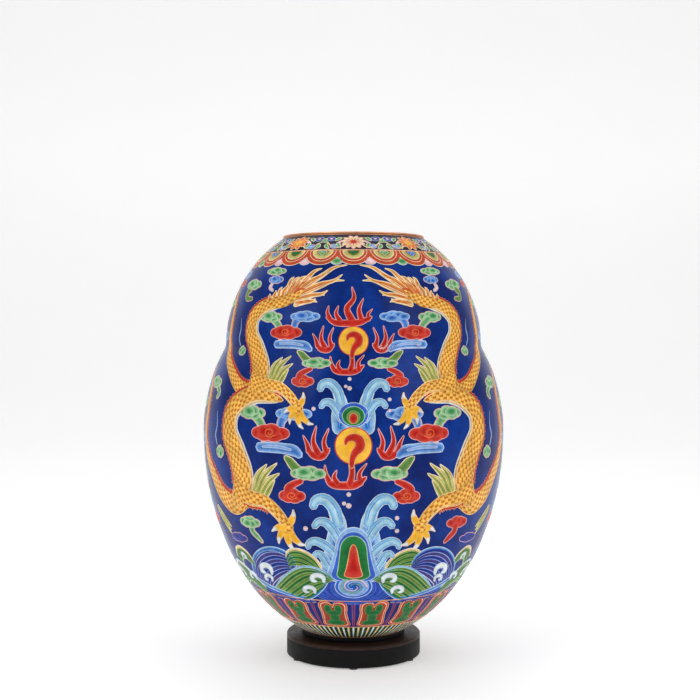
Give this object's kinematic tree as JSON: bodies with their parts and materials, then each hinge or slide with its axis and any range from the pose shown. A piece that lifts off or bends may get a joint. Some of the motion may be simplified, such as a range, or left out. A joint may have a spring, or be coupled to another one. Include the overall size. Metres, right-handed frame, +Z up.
{
  "type": "cloisonne vase",
  "caption": "Large double-lobed cloisonne vase with an open mouth, dragon and wave enamel fields, on a round turned wooden stand.",
  "frame": {"origin": "centre of the stand's underside, at the level of the floor", "axes": "+Z up along the vase's axis of revolution, -Y towards the front of the decoration"},
  "size_m": [0.7159, 0.716, 0.9988],
  "materials": {
    "copper": "satin, oxidised",
    "gilt_brass": "polished gilding",
    "counter_enamel": "gloss",
    "enamel_navy": "gloss",
    "enamel_cobalt": "gloss",
    "enamel_coral": "gloss",
    "enamel_sea_blue": "gloss",
    "enamel_green": "gloss",
    "enamel_white": "gloss",
    "enamel_gold": "gloss",
    "enamel_red": "gloss",
    "black_lacquer": "satin lacquer",
    "walnut": "satin lacquer",
    "felt": "matt",
    "zinc_steel": "zinc plated"
  },
  "bodies": {
    "stand": {"stand_drum": "black_lacquer", "stand_top": "walnut", "stand_collar": "black_lacquer", "stand_bottom": "walnut", "seat_felt": "felt", "floor_pads": "felt", "stand_screws": "zinc_steel"},
    "vase": {"dome_shell": "copper", "belly_shell": "copper", "bowl_shell": "copper", "waist_lap_band": "copper", "bowl_lap_band": "copper", "base_disc": "copper", "foot_ring": "gilt_brass", "rim_ring": "gilt_brass", "lining_dome": "counter_enamel", "lining_belly": "counter_enamel", "lining_bowl": "counter_enamel", "lining_base": "counter_enamel", "enamel_scroll_field": "enamel_navy", "enamel_collar_field": "enamel_coral", "enamel_upper_field": "enamel_cobalt", "enamel_lower_field": "enamel_cobalt", "enamel_wave_field": "enamel_sea_blue", "enamel_panel_field": "enamel_green", "enamel_fringe_field": "enamel_white", "wire_mouth": "gilt_brass", "wire_shoulder": "gilt_brass", "wire_panel": "gilt_brass", "wire_fringe": "gilt_brass"}
  },
  "joints": [
    {"name": "vase_lift", "type": "slide", "parent": "stand", "child": "vase", "axis": [0, 0, 1], "range_m": [0, 0.12]}
  ]
}
